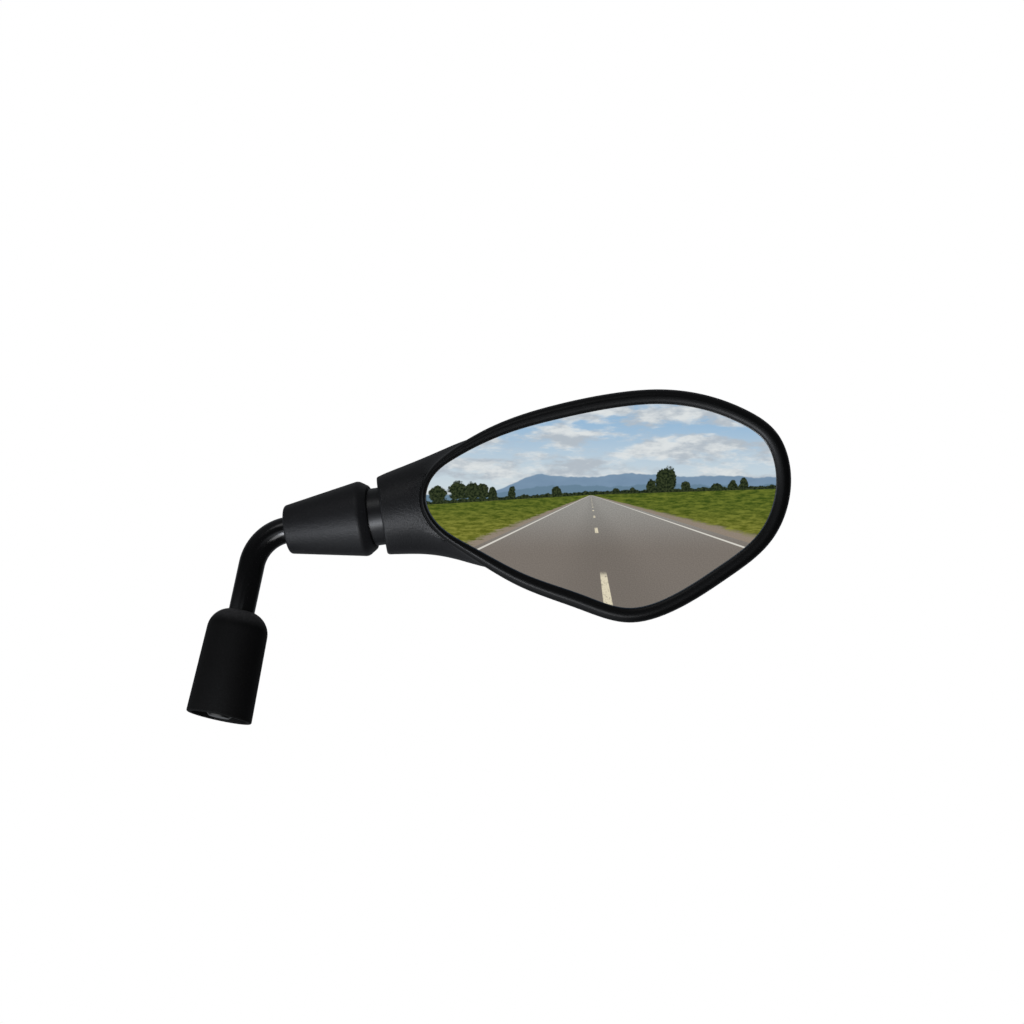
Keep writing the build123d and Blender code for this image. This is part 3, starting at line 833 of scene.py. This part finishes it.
class MIRROR_OT_joint(bpy.types.Operator):
    """Finishes the ball joint's hardware and the parts behind the glass"""

    bl_idname = "mirror_part.joint"
    bl_label = "Joint hardware and glass backing"

    def execute(self, context):
        steel = tuple(context.scene.mirror_finishes.steel)
        dull = tuple(c * 0.7 for c in steel)
        bright = finish(
            "steel finish", dull, steel,
            roughness=0.3, gloss_change=0.12, grain=0.001, bump=0.1, metallic=1.0,
        )
        give(bright, "spherical_washer", "disc_springs", "flat_washer", "tension_nut", "plate_screws")
        give(finish(
            "liner finish", (0.66, 0.65, 0.61), (0.74, 0.73, 0.70), roughness=0.35, grain=0.002, bump=0.08,
        ), "socket_liner", "nut_insert")
        give(finish(
            "tape finish", (0.02, 0.02, 0.02), (0.045, 0.045, 0.045),
            roughness=0.9, gloss_change=0.05, grain=0.0005, bump=0.6, level=0.2,
        ), "glass_tape")
        give(finish(
            "plate finish", (0.015, 0.015, 0.016), (0.026, 0.026, 0.028),
            roughness=0.5, gloss_change=0.1, grain=0.0008, bump=0.3, level=0.4,
        ), "backing_plate")
        return {"FINISHED"}


# Stage


def flat_sheet(name, corners):
    """A single flat face through the given corners."""
    mesh = bpy.data.meshes.new(name)
    mesh.from_pydata([tuple(corner) for corner in corners], [], [range(len(corners))])
    sheet = bpy.data.objects.new(name, mesh)
    bpy.context.scene.collection.objects.link(sheet)
    return sheet


def lamp(name, place, target, size, power, colour=(1, 1, 1)):
    """A soft rectangular lamp that the camera doesn't see."""
    data = bpy.data.lights.new(name, "AREA")
    data.shape = "RECTANGLE"
    data.size, data.size_y = size
    data.energy = power
    data.color = colour
    made = bpy.data.objects.new(name, data)
    made.location = place
    made.rotation_euler = (Vector(target) - Vector(place)).to_track_quat("-Z", "Y").to_euler()
    made.visible_camera = False
    bpy.context.scene.collection.objects.link(made)


def sums(tree):
    """Shorthands to add, subtract, multiply and divide in a tree."""
    return [partial(calc, tree, name) for name in ("ADD", "SUBTRACT", "MULTIPLY", "DIVIDE")]


def studio_world(scene):
    """White to the camera, a dim room with a pale table to soft reflections, open country to sharp ones."""
    world = bpy.data.worlds.new("studio")
    world.use_nodes = True
    world.cycles.sampling_method = "NONE"
    scene.world = world
    tree = world.node_tree
    tree.nodes.clear()
    plus, minus, times, _ = sums(tree)
    path = put(tree, "ShaderNodeLightPath").outputs
    is_glossy, sharp = path["Is Glossy Ray"], path["Is Singular Ray"]
    white = calc(tree, "MAXIMUM", path["Is Camera Ray"], path["Is Transmission Ray"])
    way = put(tree, "ShaderNodeTexCoord").outputs["Generated"]
    x, y, z = put(tree, "ShaderNodeSeparateXYZ", {"Vector": way}).outputs

    # How bright each way is to soft reflections, and to everything else
    front = ramp(tree, y, 0.65, -0.25)
    low = times(ramp(tree, z, 0.1, -0.15), ramp(tree, x, 0.12, -0.3))
    table = times(front, calc(tree, "MULTIPLY_ADD", low, 0.85, 0.015))
    above = ramp(tree, z, 0.3, 0.9, 0.03, 0.12)
    side = times(ramp(tree, x, -0.4, -0.85), ramp(tree, z, 0.35, -0.1))
    behind = times(ramp(tree, y, 0.3, 0.9), 0.16)
    around = calc(tree, "MULTIPLY_ADD", times(side, front), 0.45, plus(above, behind))
    room = times(plus(table, around), minus(1.0, sharp))
    level = plus(times(is_glossy, plus(room, sharp)), times(minus(1.0, is_glossy), 0.3))

    # What sharp reflections see round the road picture
    sky = blend_colour(tree, ramp(tree, z, 0.0, 0.8), (0.72, 0.80, 0.86), (0.28, 0.46, 0.70))
    ground = blend_colour(tree, ramp(tree, z, -0.7, 0.0), (0.158, 0.132, 0.113), (0.194, 0.168, 0.147))
    outdoors = blend_colour(tree, ramp(tree, z, -0.02, 0.02), ground, sky)
    seen = blend_colour(tree, sharp, (0.90, 0.94, 1.0), outdoors)
    colour = blend_colour(tree, is_glossy, (1.0, 1.0, 1.0), seen)
    strength = calc(tree, "MAXIMUM", white, level)
    glow = put(tree, "ShaderNodeBackground", {"Color": colour, "Strength": strength})
    put(tree, "ShaderNodeOutputWorld", {"Surface": glow.outputs[0]})


def pale_floor(drop):
    """A pale floor: plain white to the camera, and a pale diffuse face to the light it bounces."""
    floor = flat_sheet("floor", [(-6, -6, -drop), (6, -6, -drop), (6, 6, -drop), (-6, 6, -drop)])
    floor.visible_glossy = False
    pale, tree, shader = new_material("pale floor")
    feed(tree, shader.inputs["Base Color"], (0.9, 0.9, 0.9))
    feed(tree, shader.inputs["Roughness"], 0.9)
    glow = put(tree, "ShaderNodeEmission", {"Color": (1.0, 1.0, 1.0), "Strength": 1.0})
    path = put(tree, "ShaderNodeLightPath").outputs
    seen = calc(tree, "MAXIMUM", path["Is Camera Ray"], path["Is Transmission Ray"])
    two_looks(tree, seen, shader, glow)
    floor.data.materials.append(pale)


def road_colour(tree, u, v):
    """Colour of a country road under broken cloud, by steps right of and above its vanishing point."""
    plus, minus, times, ratio = sums(tree)
    c, fade, over = partial(calc, tree), partial(ramp, tree), partial(blend_colour, tree)

    def mottle(scale_u, scale_v, seed, detail=4.0, roughness=0.6):
        place = {"X": times(u, scale_u), "Y": times(v, scale_v), "Z": seed}
        return noise(tree, put(tree, "ShaderNodeCombineXYZ", place).outputs[0], 1.0, detail, roughness)

    def under(value, edge, soft):
        return fade(minus(value, edge), soft, -soft)

    # Sky, cloud and two ranges of hills
    colour = over(fade(v, 0.0, 95.0), (0.66, 0.74, 0.79), (0.29, 0.49, 0.72))
    cloud = over(fade(mottle(0.03, 0.08, 7.7), 0.38, 0.62), (0.50, 0.55, 0.61), (0.80, 0.82, 0.83))
    colour = over(fade(mottle(0.017, 0.055, 3.1, 6.0), 0.40, 0.56), colour, cloud)
    left = fade(u, -115.0, -45.0)
    ridge = times(c("MULTIPLY_ADD", mottle(0.016, 0.0, 1.3), 18.0, 10.5), left)
    slope = over(mottle(0.05, 0.12, 2.2), (0.17, 0.26, 0.38), (0.24, 0.35, 0.48))
    colour = over(under(v, ridge, 0.8), colour, slope)
    near_ridge = times(c("MULTIPLY_ADD", mottle(0.024, 0.0, 5.3), 20.0, -1.0), left)
    colour = over(under(v, near_ridge, 0.8), colour, (0.15, 0.24, 0.33))

    # Hedges and trees along the far edge of the fields, which falls to the left and rises to the right
    fall, climb = times(c("MINIMUM", u, 0.0), 0.06), times(c("MAXIMUM", u, 0.0), 0.033)
    above_field = minus(v, plus(fall, climb))
    leaves = mottle(0.45, 0.45, 4.0, 3.0)
    shade = over(fade(leaves, 0.35, 0.68), (0.008, 0.014, 0.007), (0.048, 0.062, 0.026))
    hedge = c("MULTIPLY_ADD", mottle(0.13, 0.0, 2.0), 9.0, -1.0)
    colour = over(under(above_field, hedge, 0.5), colour, shade)
    lobes = times(minus(mottle(0.2, 0.2, 6.0), 0.5), 2.2)
    trees = (
        (-152, 0, 9, 9), (-132, 4, 9, 10), (-118, 3, 8, 10), (-108, 3, 7, 9), (-97, 0, 5, 8), (-78, 0, 4, 9),
        (-34, 3, 5, 6), (25, 3, 4, 4), (41, 3, 3, 5), (60, 7, 5, 9), (70, 12, 6, 14), (77, 14, 8, 14),
        (94, 8, 5, 6), (125, 6, 6, 6), (141, 8, 5, 7), (152, 9, 5, 8),
    )
    for at_u, at_v, half_u, half_v in trees:
        across, up = ratio(minus(u, at_u), half_u), ratio(minus(v, at_v), half_v)
        away = plus(plus(times(across, across), times(up, up)), lobes)
        colour = over(fade(away, 1.1, 0.8), colour, shade)

    # Fields, gravel and tar; d is the depth below the vanishing point
    d = c("MAXIMUM", times(v, -1.0), 0.01)
    tufts = mottle(0.09, 0.4, 8.0, 6.0, 0.7)
    young = over(fade(tufts, 0.36, 0.66), (0.045, 0.078, 0.010), (0.17, 0.20, 0.030))
    ripe = over(fade(tufts, 0.36, 0.66), (0.10, 0.115, 0.012), (0.27, 0.27, 0.05))
    field = over(fade(d, 6.0, 40.0), young, ripe)
    colour = over(under(above_field, 0.0, 0.5), colour, field)
    ragged = times(minus(tufts, 0.5), 1.2)
    sideways = plus(ratio(u, d), ragged)
    ground = fade(v, -0.1, -0.9)
    gravel = over(mottle(0.9, 1.4, 5.0), (0.20, 0.155, 0.115), (0.40, 0.33, 0.27))
    verge = times(fade(sideways, -2.75, -2.45), fade(sideways, 4.3, 3.7))
    colour = over(times(verge, ground), colour, gravel)
    tar = over(fade(d, 3.0, 60.0), (0.33, 0.315, 0.295), (0.215, 0.185, 0.162))
    grit = fade(mottle(0.8, 1.2, 1.0, 3.0), 0.3, 0.7, 0.86, 1.12)
    worn = fade(c("ABSOLUTE", minus(ratio(u, d), 0.2)), 0.1, 0.8, 0.9, 1.0)
    shaded = {0: tar, "Scale": times(grit, worn)}
    tar = put(tree, "ShaderNodeVectorMath", shaded, operation="SCALE").outputs[0]
    edge_left = fade(plus(u, times(d, 2.25)), -0.5, 0.5)
    edge_right = fade(minus(u, times(d, 3.3)), -0.5, 0.5, 1.0, 0.0)
    colour = over(times(times(edge_left, edge_right), ground), colour, tar)

    # Painted lines: both edges and the worn dashes between the lanes
    def stripe(tilt, share):
        off = c("ABSOLUTE", minus(u, times(d, tilt)))
        return under(off, c("MULTIPLY_ADD", d, share, 0.15), 0.4)
    run = c("FRACT", ratio(55.6, d))
    dash = times(fade(run, 0.46, 0.5), fade(run, 0.74, 0.68))
    dash = times(times(dash, stripe(0.16, 0.04)), fade(mottle(0.5, 0.5, 9.0), 0.3, 0.5, 0.3, 1.0))
    edges = times(c("MAXIMUM", stripe(-2.07, 0.035), stripe(2.93, 0.045)), 0.9)
    colour = over(times(edges, ground), colour, (0.80, 0.76, 0.69))
    return over(times(dash, ground), colour, (0.80, 0.71, 0.53))


def road_picture(distance):
    """A picture of a road, far behind the rider, that only mirror-sharp reflections see."""
    # Size of a step, and place of the vanishing point
    step, at_x, at_z = distance * 0.000772, 0.1557, 0.1178
    wide, tall = 260 * step, 170 * step
    turns = ((-1, -1), (1, -1), (1, 1), (-1, 1))
    sheet = flat_sheet("road_picture", [(at_x + wide * a, -distance, at_z + tall * b) for a, b in turns])
    for kind in ("camera", "diffuse", "transmission", "volume_scatter", "shadow"):
        setattr(sheet, "visible_" + kind, False)
    made, tree, shader = new_material("road picture")
    tree.nodes.remove(shader)
    _, minus, _, ratio = sums(tree)
    x, _, z = put(tree, "ShaderNodeSeparateXYZ", {"Vector": object_place(tree)}).outputs
    colour = road_colour(tree, ratio(minus(x, at_x), step), ratio(minus(z, at_z), step))
    glow = put(tree, "ShaderNodeEmission", {"Color": colour, "Strength": 1.0})
    clear = put(tree, "ShaderNodeBsdfTransparent")
    two_looks(tree, put(tree, "ShaderNodeLightPath").outputs["Is Singular Ray"], clear, glow)
    sheet.data.materials.append(made)


class MIRROR_OT_stage(bpy.types.Operator):
    """Adds the camera, the floor, the lamps and the road behind the rider"""

    bl_idname = "mirror_part.stage"
    bl_label = "Stage"

    def execute(self, context):
        scene = context.scene
        stage = scene.mirror_stage
        scene.view_settings.view_transform = "Standard"
        data = bpy.data.cameras.new("camera")
        data.sensor_width = 36
        data.lens = data.sensor_width * stage.camera_distance / stage.picture_width
        camera = bpy.data.objects.new("camera", data)
        camera.location = (stage.camera_x, -stage.camera_distance, stage.camera_z)
        camera.rotation_euler = (math.radians(90), 0, 0)
        scene.collection.objects.link(camera)
        scene.camera = camera
        studio_world(scene)
        pale_floor(stage.floor_drop)
        road_picture(stage.road_distance)
        middle = (0.12, 0, 0.07)
        lamp("low_front_lamp", (-0.30, -0.85, -0.42), middle, (0.42, 0.3), stage.low_lamp, (0.88, 0.92, 1.0))
        lamp("high_front_lamp", (-0.4, -0.8, 1.2), middle, (0.7, 0.5), stage.high_lamp)
        lamp("under_lamp", (-0.05, -0.8, -0.47), (0.04, 0, 0.08), (0.5, 0.35), stage.under_lamp)
        return {"FINISHED"}


class MIRROR_PT_panel(bpy.types.Panel):
    """The mirror's sizes, finishes and steps"""

    bl_idname = "MIRROR_PT_panel"
    bl_label = "Motorcycle mirror"
    bl_space_type = "VIEW_3D"
    bl_region_type = "UI"
    bl_category = "Mirror"

    def draw(self, context):
        for step in STEPS:
            self.layout.operator(step.bl_idname)
        for name in GROUPS:
            group = getattr(context.scene, name)
            box = self.layout.box()
            for item in group.bl_rna.properties:
                if item.identifier not in ("rna_type", "name"):
                    box.prop(group, item.identifier)


STEPS = (
    MIRROR_OT_stem, MIRROR_OT_boot, MIRROR_OT_sleeve, MIRROR_OT_housing, MIRROR_OT_rim, MIRROR_OT_glass,
    MIRROR_OT_joint, MIRROR_OT_stage,
)
GROUPS = {"mirror_sizes": MirrorSizes, "mirror_finishes": MirrorFinishes, "mirror_stage": MirrorStage}


def register():
    for item in (*GROUPS.values(), *STEPS, MIRROR_PT_panel):
        bpy.utils.register_class(item)
    for name, group in GROUPS.items():
        setattr(bpy.types.Scene, name, PointerProperty(type=group))


def unregister():
    for name in GROUPS:
        delattr(bpy.types.Scene, name)
    for item in reversed((*GROUPS.values(), *STEPS, MIRROR_PT_panel)):
        bpy.utils.unregister_class(item)


def main():
    register()
    bpy.ops.mirror_part.stem()
    bpy.ops.mirror_part.boot()
    bpy.ops.mirror_part.sleeve()
    bpy.ops.mirror_part.housing()
    bpy.ops.mirror_part.rim()
    bpy.ops.mirror_part.glass()
    bpy.ops.mirror_part.joint()
    bpy.ops.mirror_part.stage()


if __name__ == "__main__":
    main()
